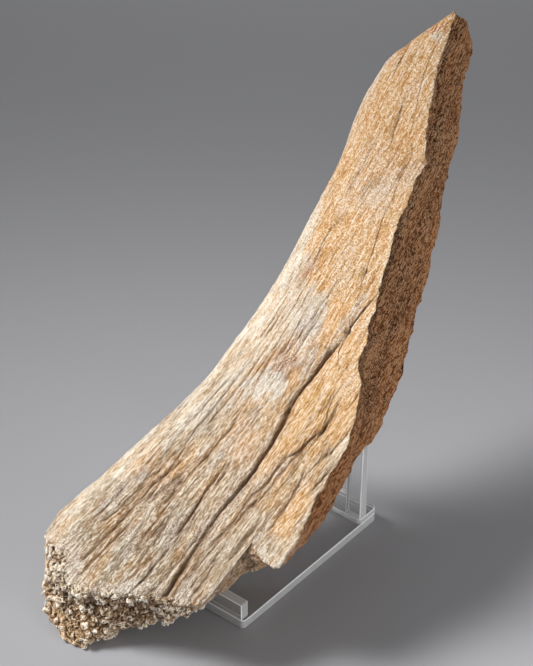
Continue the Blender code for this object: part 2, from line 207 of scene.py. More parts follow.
def sectionAt(share, height, v, upper):
    # (u, w) on the outer face or on the underside
    left, right = leftEdge(v), crest(v) if upper else backEdge(v)
    level = boneForm["sideLevel"]
    leftW = level * faceHeight(v) + (1 - level) * underHeight(v)
    if upper:
        goal = faceHeight(v) + boneForm["crown"] * np.sin(math.pi * share)
    else:
        start, full, fading, end = boneForm["marrowSpan"]
        marrow = boneForm["marrowDepth"] * ease(start, full, v) * (1 - ease(fading, end, v))
        turned = (backHeight(v) - underHeight(v)) * ease(boneForm["backTurn"], 1.0, share)
        goal = underHeight(v) + turned + marrow * np.sin(math.pi * share) ** 2
    return left + (right - left) * share, leftW + (goal - leftW) * height


def boneSkin(a, through, along):
    # points on the four long sides
    turn = boneForm["sideReach"] * (2 * through - 1)
    share = np.where(a == 0, shareAt(turn), firstShare + (1 - firstShare) * a)
    height = np.where(a == 0, np.abs(turn), heightAt(share))
    start = boneForm["rowsStart"]
    lag = (endPlace(a, through) - start) * np.clip(1 - along / boneForm["rowsSquare"], 0, 1) ** 1.5
    v = start + (boneForm["length"] - start) * along + lag
    lowU, lowW = sectionAt(share, height, v, False)
    highU, highW = sectionAt(share, height, v, True)
    part = np.where(a == 0, turn > 0, np.where(a == 1, through, through > 0.5))
    undercut = boneForm["undercut"] * hump(*boneForm["undercutPlace"], through)
    swell = np.where(a == 1, boneForm["bulge"] * np.sin(math.pi * through) - undercut, 0)
    return np.stack([lowU + (highU - lowU) * part + swell, v, lowW + (highW - lowW) * part], axis=-1)


def boneEnd(across, through, along):
    # points that fill one end, spread between its four sides
    a, c = across[:, None], through[None, :]
    top, bottom = boneSkin(across, 1.0, along)[:, None], boneSkin(across, 0.0, along)[:, None]
    left, right = boneSkin(0.0, through, along)[None], boneSkin(1.0, through, along)[None]
    a, c = a[..., None], c[..., None]
    points = ((1 - c) * bottom + c * top + (1 - a) * left + a * right
              - (1 - a) * ((1 - c) * bottom[:1] + c * top[:1]) - a * ((1 - c) * bottom[-1:] + c * top[-1:]))
    if along == 0:
        points[..., 1] = endPlace(a, c)[..., 0]
    return points


def boneGrid():
    # points, quads and side names of the closed skin
    step = (boneForm["lobeStep"] - firstShare) / (1 - firstShare)
    across = np.linspace(0, 1, boneForm["columns"] + 1)
    nearest = int(np.argmin(np.abs(across - step)))
    across[nearest:nearest + 2] = step - boneForm["stepWidth"], step + boneForm["stepWidth"]
    # layers are closer by the outer face, and rows by the heel
    through = 1 - np.linspace(1, 0, boneForm["layers"] + 1) ** 1.25
    along = np.linspace(0, 1, boneForm["rows"] + 1)
    along = 0.8 * along + 0.2 * along ** 2
    a, c, b = np.meshgrid(across, through, along, indexing="ij")
    places = np.zeros(a.shape + (3,))
    for side in (np.s_[0], np.s_[-1], np.s_[:, 0], np.s_[:, -1]):
        places[side] = boneSkin(a[side], c[side], b[side])
    places[1:-1, 1:-1, 0] = boneEnd(across, through, 0.0)[1:-1, 1:-1]
    places[1:-1, 1:-1, -1] = boneEnd(across, through, 1.0)[1:-1, 1:-1]
    outside = np.zeros(a.shape, bool)
    quads = []
    ids = np.arange(a.size).reshape(a.shape)
    for side in (np.s_[0], np.s_[-1], np.s_[:, 0], np.s_[:, -1], np.s_[:, :, 0], np.s_[:, :, -1]):
        outside[side] = True
        sheet = ids[side]
        corners = [sheet[:-1, :-1], sheet[1:, :-1], sheet[1:, 1:], sheet[:-1, 1:]]
        quads.append(np.stack(corners, axis=-1).reshape(-1, 4))
    kept = np.cumsum(outside.ravel()) - 1
    sides = np.select([c == 1, a == 1, a == 0, c == 0, b == 0],
                      [skinSides.index(name) for name in ("outer", "broken", "left", "under", "heel")],
                      skinSides.index("tip"))
    return places[outside], kept[np.concatenate(quads)], sides[outside]


def toWorld(points):
    u, v, w = points.T
    lean = math.radians(boneForm["lean"])
    x = baseMiddle.x + boneForm["heel"][0] + u
    y = baseMiddle.y + boneForm["heel"][1] + math.cos(lean) * v - math.sin(lean) * w
    return np.stack([x, y, math.sin(lean) * v + math.cos(lean) * w], axis=1)


def toBone(points):
    lean = math.radians(boneForm["lean"])
    x = points[:, 0] - baseMiddle.x - boneForm["heel"][0]
    y = points[:, 1] - baseMiddle.y - boneForm["heel"][1]
    z = points[:, 2]
    along = math.cos(lean) * y + math.sin(lean) * z
    return np.stack([x, along, math.cos(lean) * z - math.sin(lean) * y], axis=1)


# how the grain runs, in metres

grainFlow = {
    "fanStarts": 0.20,               # the grain fans out below this v
    "fanFoot": 0.04,
    "fanMost": 0.033,                # how far the left-most fibres drift by the foot
    "fanPower": 1.6,
    "share": [(-0.03, 1.0), (-0.021, 1.0), (0.005, 0.72), (0.03, 0.32), (0.042, 0.25), (0.055, 0.3),
              (0.08, 0.42)],
}
driftShare = curveThrough(grainFlow["share"])


def fibreOf(u, v):
    # the u that a fibre has higher up, so that each fibre has one number
    top, foot = grainFlow["fanStarts"], grainFlow["fanFoot"]
    drop = np.clip((top - v) / (top - foot), 0, 1.3)
    drift = grainFlow["fanMost"] * drop ** grainFlow["fanPower"]
    fibre = u + 0.4 * drift
    for attempt in range(6):
        fibre = u + drift * driftShare(fibre)
    return fibre


# furrows in the outer face: route as (u, v), half width and depth, all in millimetres

furrows = {
    "mainTop": ([(44, 224), (43, 214), (41, 202), (40.6, 192), (38.4, 183), (36.9, 168)], 1.1, 1.7),
    "main": ([(40.4, 191), (38.4, 183), (36.9, 168), (35.6, 160), (35.6, 152), (37.8, 131),
              (37.8, 116), (36.9, 108), (35.6, 99), (34.7, 90), (33.8, 80), (33.4, 74), (34.4, 58),
              (33.8, 50), (35, 40), (36, 34)], 2.7, 3.5),
    "ribA": ([(12.2, 142), (12.8, 135), (13.1, 129), (11.6, 121), (10.3, 108), (8.8, 102),
              (7.5, 96), (7.4, 84), (7.0, 70), (5.3, 54)], 1.7, 1.4),
    "ribB": ([(1, 110), (-1, 105), (-3, 99), (-6, 91), (-7.7, 86), (-8.4, 79), (-10, 72.5),
              (-11.3, 65), (-12.3, 58), (-14.7, 51), (-16.3, 43), (-18.6, 33)], 2.1, 1.9),
    "ribC": ([(-5, 69), (-5.6, 62), (-7.7, 54), (-10, 46), (-12.3, 35), (-14.7, 25)], 1.7, 1.5),
    "ribD": ([(22, 106), (21.3, 96), (21.3, 83), (20.9, 71), (20.3, 64)], 1.4, 1.0),
    "ribE": ([(18.4, 62), (18, 58), (15.8, 51), (13.4, 43), (11, 36)], 1.6, 1.3),
    "lobeA": ([(58, 166), (58.3, 155), (58.7, 149), (55.5, 142), (52.5, 133), (49.4, 129),
               (48.6, 121), (47.8, 113), (45.5, 107), (44.4, 99), (43.9, 90), (42.3, 82),
               (41.6, 74), (40.5, 68)], 1.8, 1.6),
    "lobeB": ([(61, 131), (62.7, 121), (63.8, 114), (63.4, 105), (63.4, 96), (61, 88)], 1.6, 1.5),
    "nick": ([(60, 144.5), (63, 144), (67, 142), (71, 139)], 1.0, 1.2),
    "upperA": ([(0.6, 320), (0.9, 317), (2.5, 311), (4.4, 302), (6.4, 297), (6.9, 290)], 0.9, 1.0),
    "upperB": ([(-3, 296), (-2, 283), (-1.4, 269), (-1, 258)], 0.9, 0.7),
    "upperC": ([(3.3, 257), (3, 250), (1.7, 242), (1.2, 234), (2.2, 226), (3, 214), (2.5, 205)], 0.9, 0.9),
    "middle": ([(11.5, 181), (11, 172), (11, 158), (11.5, 150)], 0.9, 0.9),
    "leftA": ([(-17, 104), (-18.5, 95), (-19.5, 88)], 1.1, 0.8),
    "leftB": ([(-31, 64), (-33.5, 56), (-36.5, 49)], 1.2, 1.0),
    "tipCrack": ([(-14, 346), (-14.3, 338), (-14, 331), (-13.2, 326)], 1.0, 1.8),
    "upperRight": ([(27, 300), (29, 293), (31, 287)], 1.2, 1.2),
}
furrowForm = {
    "taper": 9,                      # millimetres in which a furrow runs out at each end
    "banks": (1.3, 0.8),             # the right bank is the broader; both times the half width
    "bankShare": 0.62,
    "slitShare": 0.38,
    "slitWidth": 0.34,               # the next three are times the half width too
    # width of the painted shade in a furrow
    "shadeWidth": 0.42,
    "stainWidth": 1.5,
}


def distanceTo(u, v, route):
    # distance from each (u, v) to a route, and the side that it lies on
    near = np.full(len(u), 100.0)
    side = np.zeros(len(u))
    for (u0, v0), (u1, v1) in zip(route, route[1:]):
        run = (u1 - u0) ** 2 + (v1 - v0) ** 2
        t = np.clip(((u - u0) * (u1 - u0) + (v - v0) * (v1 - v0)) / run, 0, 1)
        away = np.hypot(u - u0 - t * (u1 - u0), v - v0 - t * (v1 - v0))
        closer = away < near
        side = np.where(closer, np.sign((u - u0) * (v1 - v0) - (v - v0) * (u1 - u0)), side)
        near = np.where(closer, away, near)
    return near, side


def furrowCut(u, v):
    # depth of the furrows in millimetres, how much painted shade each spot gets in them, and the stain beside
    # them
    cut, paintedShade, stain = np.zeros(len(u)), np.zeros(len(u)), np.zeros(len(u))
    taper, (right, left) = furrowForm["taper"], furrowForm["banks"]
    for route, width, depth in furrows.values():
        away, side = distanceTo(u, v, route)
        ends = ease(0, taper, np.abs(v - route[0][1])), ease(0, taper, np.abs(v - route[-1][1]))
        ends = 0.25 + 0.75 * ends[0] * ends[1]
        bank = np.exp(-away / (np.where(side > 0, right, left) * width))
        slit, shade, tint = (np.exp(-(away / (furrowForm[name] * width)) ** 2)
                             for name in ("slitWidth", "shadeWidth", "stainWidth"))
        cut += ends * depth * (furrowForm["bankShare"] * bank + furrowForm["slitShare"] * slit)
        # painted shade in the furrow's recess
        paintedShade = np.maximum(paintedShade, ends * min(1, depth / 1.5) * shade)
        stain = np.maximum(stain, ends * tint)
    return cut, paintedShade, stain


# the bone's relief: heights in millimetres, and below them the sizes of the patterns that make it

boneRelief = {
    "swell": 0.6,
    "ribs": 1.9,
    "lines": 0.45,
    "fibres": 0.36,
    "threads": 0.15,
    "crumbs": 0.13,
    "splinters": 2.0,
    "splinterFibres": 1.1,
    "crust": 0.30,                   # the rough grey patches
    "edgeBites": (0.55, 0.6),        # coarse and fine bites out of the crest and the rim
    "endRecess": 3.2,                # makes room for the spongy bone
}
reliefSizes = {                      # metres across, along and through
    "swell": (0.022, 0.09, 0.03),
    "wanderSlow": (0.006, 0.012, 0.01),
    "wanderFast": (0.0016, 0.0022, 0.0016),
    "ribs": (0.0058, 0.075, 0.02),
    "ribWaver": (0.0016, 0.006, 0.002),
    "ribHere": (0.013, 0.030, 0.02),
    "lines": (0.0034, 0.045, 0.01),
    "lineWaver": (0.0012, 0.004, 0.002),
    "lineHere": (0.008, 0.020, 0.02),
    "fibres": (0.0019, 0.020, 0.003),
    "fineFibres": (0.0012, 0.0060, 0.0015),
    "threads": (0.0014, 0.0026, 0.0014),
    "crumbs": 0.0012,
    "crusty": (0.012, 0.026, 0.02),
    "crust": 0.0022,
    "splinters": (0.0055, 0.045, 0.008),
    "splinterWaver": (0.0024, 0.018, 0.003),
    "splinterFibres": (0.0012, 0.0080, 0.0013),
    "ragged": 0.006,
    "corner": 0.003,
    "coarseBites": 0.0045,
    "fineBites": 0.0018,
    "biteLength": 0.02,
}


def endSpots(points, sides):
    # where the spongy inside of the bone lies open
    u, v, w = points.T
    ragged = lumps(points, reliefSizes["ragged"], 11)
    outer = onSide(sides, "outer")
    level = (w - underHeight(v)) / (faceHeight(v) - underHeight(v))
    low = ~outer * (1 - ease(0.034, 0.052, v + 0.007 * ragged)) * (1 - ease(0.010, 0.030, u))
    low = low * (1 - ease(0.55, 0.75, level + 0.25 * ragged))
    corner = (0.008 + 0.010 * lumps(points, reliefSizes["corner"], 55)) * (1 - ease(-0.050, -0.034, u))
    border = np.maximum(0.0015 + 0.0035 * ease(-0.3, 0.6, ragged) + corner, 0.001)
    nearRim = outer * (1 - ease(0.2, 1.2, (v - rimOf(u, v)) / border))
    spongy = np.maximum(np.maximum(onSide(sides, "heel"), low), nearRim)
    return spongy * (1 - ease(0.040, 0.046, u + 0.003 * ragged)) * (1 - ease(0.050, 0.056, v))


def edgeShift(points):
    # small bites out of the crest and the rim, as shifts across and along
    u, v, w = points.T
    length, across, along = reliefSizes["biteLength"], 0, 0
    for height, name, seed in zip(boneRelief["edgeBites"], ("coarseBites", "fineBites"), (51, 52)):
        size = reliefSizes[name]
        across = across + height * lumps(points, (length, size, length), seed)
        along = along + height * lumps(points, (size, length, length), seed + 2)
    high = ease(-0.008, -0.002, w - faceHeight(v))
    nearEdges = high * np.exp(-np.abs(u - crest(v)) / 0.0025)
    nearEdges += 1.3 * np.exp(-np.abs(u - backEdge(v)) / 0.003) * np.exp(-np.abs(w - backHeight(v)) / 0.004)
    nearEdges += 0.6 * np.exp(-np.abs(u - leftEdge(v)) / 0.002)
    return nearEdges * across * mm, high * along * np.exp(-np.abs(v - rimOf(u, v)) / 0.0025) * mm


def alongSplinters(points):
    # the splinters of the broken side run a little askew
    u, v, w = points.T
    return np.stack([w, v + 0.15 * w, u], axis=1)


def boneShape(points, normals, sides):
    # how far each point moves out along its normal, and the values that its finish is painted from
    u, v, w = points.T
    outer = onSide(sides, "outer").astype(float)
    grainy = np.maximum(outer, onSide(sides, "left"))
    spongy = endSpots(points, sides)
    broken = (1 - grainy) * (1 - spongy)

    fibre = fibreOf(u, v)
    grain = np.stack([fibre, v, w], axis=1)
    fan = 1 - ease(0.12, 0.24, v)
    height, size = boneRelief, reliefSizes
    move = height["swell"] * lumps(grain, size["swell"], 1)

    # furrows that run for long, with ragged edges
    wanderSlow = 0.7 * lumps(grain, size["wanderSlow"], 2)
    wanderFast = 0.35 * lumps(points, size["wanderFast"], 12)
    cut, paintedShade, stain = furrowCut(u / mm + wanderSlow + wanderFast, v / mm)
    move -= outer * cut

    # furrows that come and go, and hair lines
    ribs = np.abs(lumps(grain, size["ribs"], 3) + 0.08 * lumps(grain, size["ribWaver"], 13))
    ribHere = ease(-0.25, 0.20, lumps(grain, size["ribHere"], 4))
    rib = (0.6 * np.exp(-ribs / 0.12) + 0.4 * np.exp(-ribs / 0.04)) * ribHere
    lines = np.abs(lumps(grain, size["lines"], 17) + 0.06 * lumps(grain, size["lineWaver"], 18))
    line = np.exp(-lines / 0.05) * ease(0.0, 0.35, lumps(grain, size["lineHere"], 19))
    move -= grainy * (height["ribs"] * (0.22 + 0.78 * fan) * rib + height["lines"] * line)

    # fibres: round backs with sharp lines between them
    coarse = np.abs(lumps(grain, size["fibres"], 5))
    fine = np.abs(lumps(grain, size["fineFibres"], 6))
    fibres = 0.6 * ease(0, 0.30, coarse) + 0.4 * ease(0, 0.3, fine)
    threads = lumps(points, size["threads"], 7)
    crumbs = lumps(points, size["crumbs"], 14)
    move += grainy * height["fibres"] * (0.55 + 0.45 * fan) * (fibres - 0.6)
    move += grainy * height["threads"] * threads
    crusty = ease(0.05, 0.5, lumps(grain, size["crusty"], 15))
    atRim = 1 - ease(0.003, 0.017, v - rimOf(u, v) + 0.010 * lumps(points, 0.008, 56))
    crusty = np.maximum(crusty, atRim) * grainy
    move += (grainy + broken) * height["crumbs"] * crumbs
    move += crusty * height["crust"] * (lumps(points, size["crust"], 16) + 0.35)

    # the broken side: long splinters with fibres on them
    streak = alongSplinters(points)
    splinter = lumps(streak, size["splinters"], 8)
    splinter = splinter + 0.45 * lumps(streak, size["splinterWaver"], 9)
    splinterFibre = lumps(streak, size["splinterFibres"], 10)
    move += broken * (height["splinters"] * splinter + height["splinterFibres"] * splinterFibre)
    move -= height["endRecess"] * ease(0.5, 0.95, spongy)

    shaped = points + normals * (move * mm)[:, None]
    across, along = edgeShift(points)
    shaped[:, 0] += across
    shaped[:, 1] += along

    # what the finish is painted from
    ribLine = (0.25 + 0.75 * fan) * ribHere * np.exp(-ribs / 0.05)
    # painted shade in the furrows, the rib lines and the hair lines
    paintedShade = np.clip(outer * paintedShade + grainy * (0.9 * ribLine + 0.6 * line), 0, 1)
    stain = np.clip(outer * stain + 0.6 * fan * grainy * rib, 0, 1)
    low = grainy * (0.8 * (0.62 - fibres) - 0.3 * threads - 0.3 * crumbs)
    low = low - broken * (0.5 * splinter + 0.6 * splinterFibre + 0.4 * crumbs)
    # painted shadow under the crest's overhang, on the broken side
    groove = hump(1.6, 1.3, (faceHeight(v) - w) / mm) * ease(0.09, 0.12, v) * (1 - ease(0.25, 0.29, v))
    paintedShade = np.maximum(paintedShade, 0.8 * groove * onSide(sides, "broken"))
    broken = broken * (0.25 + 0.75 * ease(0.070, 0.110, v))
    # hollow marks the low relief, which the finish darkens as painted shade
    hollow = np.clip(0.5 + 0.5 * low, 0, 1)
    return shaped, {"furrow": paintedShade, "stain": stain, "hollow": hollow, "broken": broken, "spongy": spongy,
                    "crusty": crusty}


def settled(points):
    # lifts points clear of the floor, the lip and the posts
    x, y, z = points.T
    z = np.maximum(z, 0)
    margin = boneForm["restMargin"]
    for node, depth in boneForm["rests"].items():
        low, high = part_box(node)
        over = (x > low.x - margin) & (x < high.x + margin)
        over &= (y > high.y - depth - margin) & (y < high.y + margin)
        z = np.where(over, np.maximum(z, high.z + boneForm["restGap"]), z)
    return np.stack([x, y, z], axis=1)


def readVectors(items, key):
    flat = np.empty(len(items) * 3)
    items.foreach_get(key, flat)
    return flat.reshape(-1, 3)


def addValues(mesh, name, values):
    # one number, or one vector, for each vertex
    values = np.asarray(values, np.float32)
    kind, key = ("FLOAT", "value") if values.ndim == 1 else ("FLOAT_VECTOR", "vector")
    layer = mesh.attributes.new(name, kind, "POINT")
    layer.data.foreach_set(key, values.ravel())


def addColours(mesh, name, colours):
    layer = mesh.color_attributes.new(name, "FLOAT_COLOR", "POINT")
    solid = np.column_stack([np.clip(colours, 0, 1), np.ones(len(colours))]).astype(np.float32)
    layer.data.foreach_set("color", solid.ravel())


def meshObject(name, points, faces):
    mesh = bpy.data.meshes.new(name)
    mesh.from_pydata(points.tolist(), [], faces.tolist())
    piece = bpy.data.objects.new(name, mesh)
    bpy.context.scene.collection.objects.link(piece)
    return piece


def withFewerFaces(piece, quads, most, hidden):
    # thins the mesh, mostly where hidden is near 1, and gives the places that its points then have
    group = piece.vertex_groups.new(name="fewer")
    for tenth in range(11):
        chosen = np.flatnonzero(np.round(hidden * 10) == tenth)
        if len(chosen):
            group.add(chosen.tolist(), 0.05 + 0.95 * tenth / 10, "REPLACE")
    thinner = piece.modifiers.new("Fewer faces", "DECIMATE")
    thinner.ratio = min(1.0, most / (2 * quads))
    thinner.vertex_group = "fewer"
    thinner.vertex_group_factor = 8.0
    thinner.use_collapse_triangulate = True
    bpy.context.view_layer.update()
    thinned = bpy.data.meshes.new_from_object(piece.evaluated_get(bpy.context.evaluated_depsgraph_get()))
    piece.modifiers.clear()
    full, piece.data = piece.data, thinned
    bpy.data.meshes.remove(full)
    thinned.name = piece.name
    piece.vertex_groups.clear()
    places = settled(readVectors(thinned.vertices, "co"))
    piece.data.vertices.foreach_set("co", places.ravel())
    return places


def nearestOf(places, spots):
    # for each spot, which of the places is nearest
    tree = KDTree(len(places))
    for index, place in enumerate(places.tolist()):
        tree.insert(place, index)
    tree.balance()
    return np.array([tree.find(spot)[1] for spot in spots.tolist()])


def painted(tone, shade, share):
    share = np.reshape(share, (-1, 1))
    return tone * (1 - share) + shade * share


def triangleCount(mesh):
    return sum(len(face.vertices) - 2 for face in mesh.polygons)


def srgb(red, green, blue):
    # the linear colour of a 0 to 255 screen colour
    shades = np.array([red, green, blue], float) / 255
    return np.where(shades <= 0.04045, shades / 12.92, ((shades + 0.055) / 1.055) ** 2.4)


def opaque(shade):
    return (*shade, 1)


boneTones = {
    "ochre": srgb(214, 168, 112),
    "gold": srgb(204, 158, 98),
    "peach": srgb(190, 148, 104),
    "cream": srgb(220, 210, 192),
    "beige": srgb(179, 157, 129),
    "greyWhite": srgb(200, 192, 180),
    "tan": srgb(188, 146, 96),
    "lilac": srgb(176, 164, 154),
    "slate": srgb(140, 134, 130),
    "rust": srgb(186, 118, 66),
    "fawn": srgb(164, 122, 84),
    "sand": srgb(153, 135, 110),
    "break": srgb(160, 104, 58),
    "stain": srgb(178, 132, 80),
    # painted shade for the bone's skin under the spongy lattice
    "poreShade": srgb(96, 68, 42),
    "edge": srgb(214, 204, 188),
}

toneRules = {                        # lengths in millimetres
    "turnsGrey": (200, 110),         # from ochre above to beige below
    "ridges": {"gold": (0.10, 0.55), "lilac": (-0.15, -0.60)},
    "ridgeShare": 0.42,
    "footPaintedShade": 0.17,
    "crestPaleness": (0.45, 1.3),        # share and reach
    "furrowBankPaleAndLit": (0.9, 2.2, 1.5),   # share, distance from the furrow, and width of the pale grit and painted highlight on its right bank
    "bands": (0.55, 0.35),           # coarse and fine bands on the broken side, partly its own streaks and partly painted light and shade of its splinters
    "shadeUnderCrest": 0.35,              # how much darker it is under the crest, painted shade under its overhang
    "lightAtBackEdge": 0.45,              # and how much paler at the back edge, painted light there
}

# patches on the outer face: tone, middle (u, v) and half size in millimetres, strength
bonePatches = [
    ("cream", (-16, 215), (10, 45), 0.75), ("greyWhite", (-2, 212), (9, 16), 0.6),
    ("cream", (-14, 150), (14, 40), 0.7), ("cream", (-30, 95), (9, 22), 0.75),
    ("gold", (26, 228), (13, 20), 0.8), ("ochre", (22, 246), (14, 12), 0.6),
    ("rust", (3.5, 219), (2.5, 5), 0.5), ("greyWhite", (16, 200), (12, 14), 0.75),
    ("lilac", (20, 190), (10, 9), 0.5), ("lilac", (40, 205), (3.5, 14), 0.55),
    ("cream", (2, 183), (12, 18), 0.6), ("fawn", (20, 171), (10, 10), 0.95),
    ("fawn", (16, 168), (7, 8), 0.7), ("lilac", (31, 178), (5, 8), 0.65),
    ("greyWhite", (18, 156), (13, 9), 0.8), ("slate", (22, 140), (5, 4), 0.45),
    ("greyWhite", (-6, 158), (12, 14), 0.55), ("gold", (50, 150), (13, 22), 0.85),
    ("ochre", (45, 128), (9, 14), 0.6), ("ochre", (66, 160), (7, 16), 0.6),
    ("cream", (72, 144), (4, 8), 0.6), ("peach", (22, 128), (10, 12), 0.6),
    ("peach", (29, 121), (5, 9), 0.5), ("slate", (4, 122), (3, 3), 0.4),
    ("slate", (17, 115), (3, 3), 0.35), ("greyWhite", (-2, 128), (7, 14), 0.4),
    ("peach", (-17, 96), (7, 9), 0.6), ("lilac", (-14, 86), (5, 5), 0.7),
    ("ochre", (-18, 74), (5, 8), 0.55), ("ochre", (4, 100), (5, 10), 0.55),
    ("stain", (3.0, 77), (3.4, 3.6), 1.0), ("greyWhite", (7, 84), (2, 4), 0.8),
    ("gold", (-26, 62), (7, 12), 0.55), ("cream", (-42, 66), (8, 16), 0.6),
    ("cream", (-34, 50), (4, 8), 0.55), ("greyWhite", (-18, 32), (5, 6), 0.6),
    ("greyWhite", (12, 41), (6, 5), 0.55), ("tan", (-4, 84), (8, 24), 0.6),
    ("tan", (-24, 80), (6, 14), 0.45), ("tan", (-14, 52), (3, 14), 0.5),
    ("greyWhite", (22, 60), (8, 22), 0.35), ("ochre", (68, 108), (8, 18), 0.8),
    ("gold", (55, 112), (6, 14), 0.5), ("cream", (78, 84), (3.5, 5), 0.25),
    ("lilac", (34, 70), (3, 9), 0.6), ("beige", (48, 66), (12, 22), 0.5),
    ("sand", (10, 56), (30, 38), 0.75), ("sand", (-22, 60), (14, 22), 0.6),
    ("rust", (-3, 360), (5, 3.5), 0.6), ("greyWhite", (0, 355), (4, 3), 0.6),
    ("rust", (-16, 344), (3, 6), 0.5), ("cream", (-26, 300), (5, 60), 0.35),
    ("peach", (12, 280), (9, 14), 0.5), ("greyWhite", (14, 268), (7, 10), 0.3),
]


def outerTone(points, fibre):
    # colour of the outer face, before its fibres are drawn
    u, v = points[:, 0] / mm, points[:, 1] / mm
    tone = painted(boneTones["ochre"], boneTones["beige"], ease(*toneRules["turnsGrey"], v))
    grain = np.stack([fibre, points[:, 1], points[:, 2]], axis=1)
    acrossWarp = 4.5 * lumps(grain, (0.006, 0.016, 0.02), 21) + 1.5 * lumps(points, 0.0025, 24)
    alongWarp = 7.0 * lumps(grain, (0.005, 0.020, 0.02), 22) + 2.5 * lumps(points, 0.003, 25)
    ragged = 0.30 * lumps(grain, (0.0022, 0.007, 0.01), 23)
    for name, (pu, pv), (ru, rv), strength in bonePatches:
        away = np.hypot((u + acrossWarp - pu) / ru, (v + alongWarp - pv) / rv)
        tone = painted(tone, boneTones[name], strength * (1 - ease(0.65, 1.2, away + ragged)))

    # ridges of warmer and greyer bone on the fan
    drift = lumps(grain, (0.0055, 0.034, 0.02), 27) + 0.4 * lumps(grain, (0.003, 0.008, 0.02), 28)
    onFan = toneRules["ridgeShare"] * ease(215, 150, v)
    for name, span in toneRules["ridges"].items():
        tone = painted(tone, boneTones[name], onFan * ease(*span, drift))

    # painted shade: darker at the lower left of the fan, where its surface turns down from the light
    tone = tone * (1 - toneRules["footPaintedShade"] * ease(100, 60, v) * ease(-40, -28, u))[:, None]

    # paler bone along the crest, and on the main furrow's right bank, which faces the light, pale grit with a
    # painted highlight
    crestShare, crestReach = toneRules["crestPaleness"]
    besideShare, besideAway, besideWidth = toneRules["furrowBankPaleAndLit"]
    toCrest = (crest(points[:, 1]) - points[:, 0]) / mm
    away, side = distanceTo(u, v, furrows["main"][0])
    paleAndHighlight = crestShare * np.exp(-np.clip(toCrest, 0, 90) / crestReach)
    # pale grit and painted highlight on the right bank only, the bank that faces the light
    paleAndHighlight += besideShare * (side > 0) * hump(besideAway, besideWidth, away)
    paleAndHighlight = np.clip(paleAndHighlight, 0, 1) * ease(-0.35, 0.2, lumps(points, (0.003, 0.009, 0.004), 26))
    return painted(tone, boneTones["edge"], paleAndHighlight)


def brokenBandsLightAndShade(points):
    # long darker and lighter bands on the broken side, partly its own streaks and partly painted light and
    # shade of its splinters; painted shade under the crest and painted light at the back edge
    v, w = points[:, 1], points[:, 2]
    streak = alongSplinters(points)
    coarse, fine = toneRules["bands"]
    band = 1 + coarse * lumps(streak, (0.0042, 0.050, 0.02), 29)
    band += fine * lumps(streak, (0.0018, 0.022, 0.02), 30)
    depth = (faceHeight(v) - w) / mm
    band *= 1 - toneRules["shadeUnderCrest"] * (1 - ease(2.0, 6.5, depth))
    band *= 1 + toneRules["lightAtBackEdge"] * ease(9, 3, (w - backHeight(v)) / mm)
    return np.clip(band, 0.35, 1.8)


def makeBone():
    points, quads, sides = boneGrid()
    piece = meshObject("mammothBone", points, quads)
    form = bmesh.new()
    form.from_mesh(piece.data)
    bmesh.ops.recalc_face_normals(form, faces=form.faces)
    form.to_mesh(piece.data)
    form.free()
    normals = readVectors(piece.data.vertex_normals, "vector")
    shaped, values = boneShape(points, normals, sides)
    fine = toWorld(shaped)
    piece.data.vertices.foreach_set("co", settled(fine).ravel())
    piece.data.update()
    print("bone shaped:", len(points), "points")

    # fewer faces underneath and behind the spongy bone, where the grain hardly shows
    hidden = np.maximum(ease(0.1, 0.6, -normals[:, 2]), ease(0.6, 1.0, values["spongy"]))
    places = withFewerFaces(piece, len(quads), boneForm["mostTriangles"], hidden)

    # each value comes from the nearest point of the fine grid
    source = nearestOf(fine, places)
    values = {name: each[source] for name, each in values.items()}
    here = toBone(places)
    fibre = fibreOf(here[:, 0], here[:, 1])
    tone = outerTone(here, fibre)
    # the stain and the break tone are the bone's own colours; the spongy patches under the lattice get
    # painted pore shade
    for name, shade, strength in (("stain", "stain", 0.5), ("broken", "break", 1.0), ("spongy", "poreShade", 1.0)):
        tone = painted(tone, boneTones[shade], strength * values[name])
    # painted light and shade on the broken side, with its own streaks
    tone = tone * (1 - values["broken"] * (1 - brokenBandsLightAndShade(here)))[:, None]
    addColours(piece.data, "tone", tone)
    addValues(piece.data, "grain", np.stack([fibre, here[:, 1], here[:, 2]], axis=1))
    for name in ("furrow", "hollow", "broken", "crusty"):
        addValues(piece.data, name, values[name])
    piece.data.shade_smooth()
    print("bone surface:", triangleCount(piece.data), "triangles")
    return piece, (points, normals, sides)


